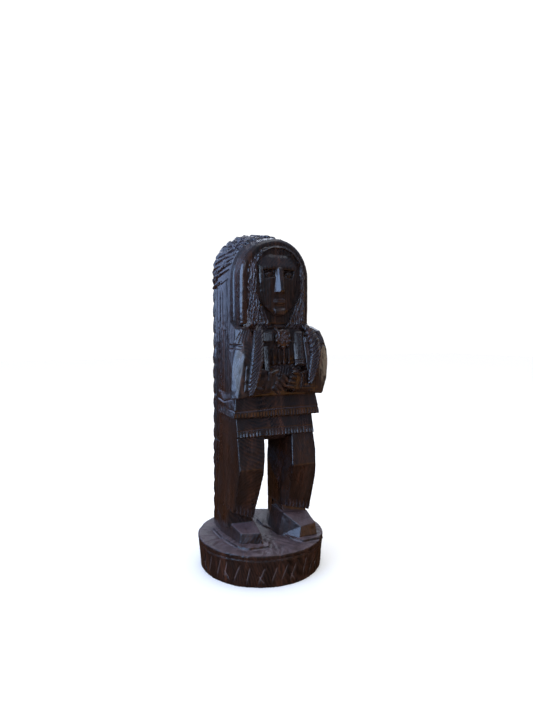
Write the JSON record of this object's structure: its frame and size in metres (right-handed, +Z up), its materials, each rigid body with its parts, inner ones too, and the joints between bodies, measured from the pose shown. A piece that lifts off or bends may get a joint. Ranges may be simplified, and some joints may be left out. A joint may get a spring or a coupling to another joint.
{
  "type": "carved standing figure",
  "caption": "Carved dark hardwood figure in a long feather bonnet, arms folded, standing on a round plinth.",
  "frame": {"origin": "centre of the plinth's resting face", "axes": "+Z up through the figure, -Y the way it faces, +X its own left side"},
  "size_m": [0.112, 0.112, 0.2965],
  "materials": {
    "varnished_wood": "dark streaked heartwood, hand-cut facets under glossy varnish",
    "plinth_wood": "the same heartwood, worn and matter, with open pores and tool marks on top"
  },
  "bodies": {
    "root": {"plinth": "plinth_wood", "right_moccasin": "varnished_wood", "left_moccasin": "varnished_wood", "right_trouser_leg": "varnished_wood", "left_trouser_leg": "varnished_wood", "kilt": "varnished_wood", "tunic_skirt": "varnished_wood", "chest": "varnished_wood", "right_upper_arm": "varnished_wood", "left_upper_arm": "varnished_wood", "right_forearm": "varnished_wood", "left_forearm": "varnished_wood", "right_hand": "varnished_wood", "left_hand": "varnished_wood", "right_braid": "varnished_wood", "left_braid": "varnished_wood", "breastplate": "varnished_wood", "medallion": "varnished_wood", "tassels": "varnished_wood", "neck": "varnished_wood", "head": "varnished_wood", "hair": "varnished_wood", "bonnet_band": "varnished_wood", "bonnet_feathers": "varnished_wood", "trailer_back": "varnished_wood", "right_trailer": "varnished_wood", "left_trailer": "varnished_wood"}
  },
  "joints": []
}
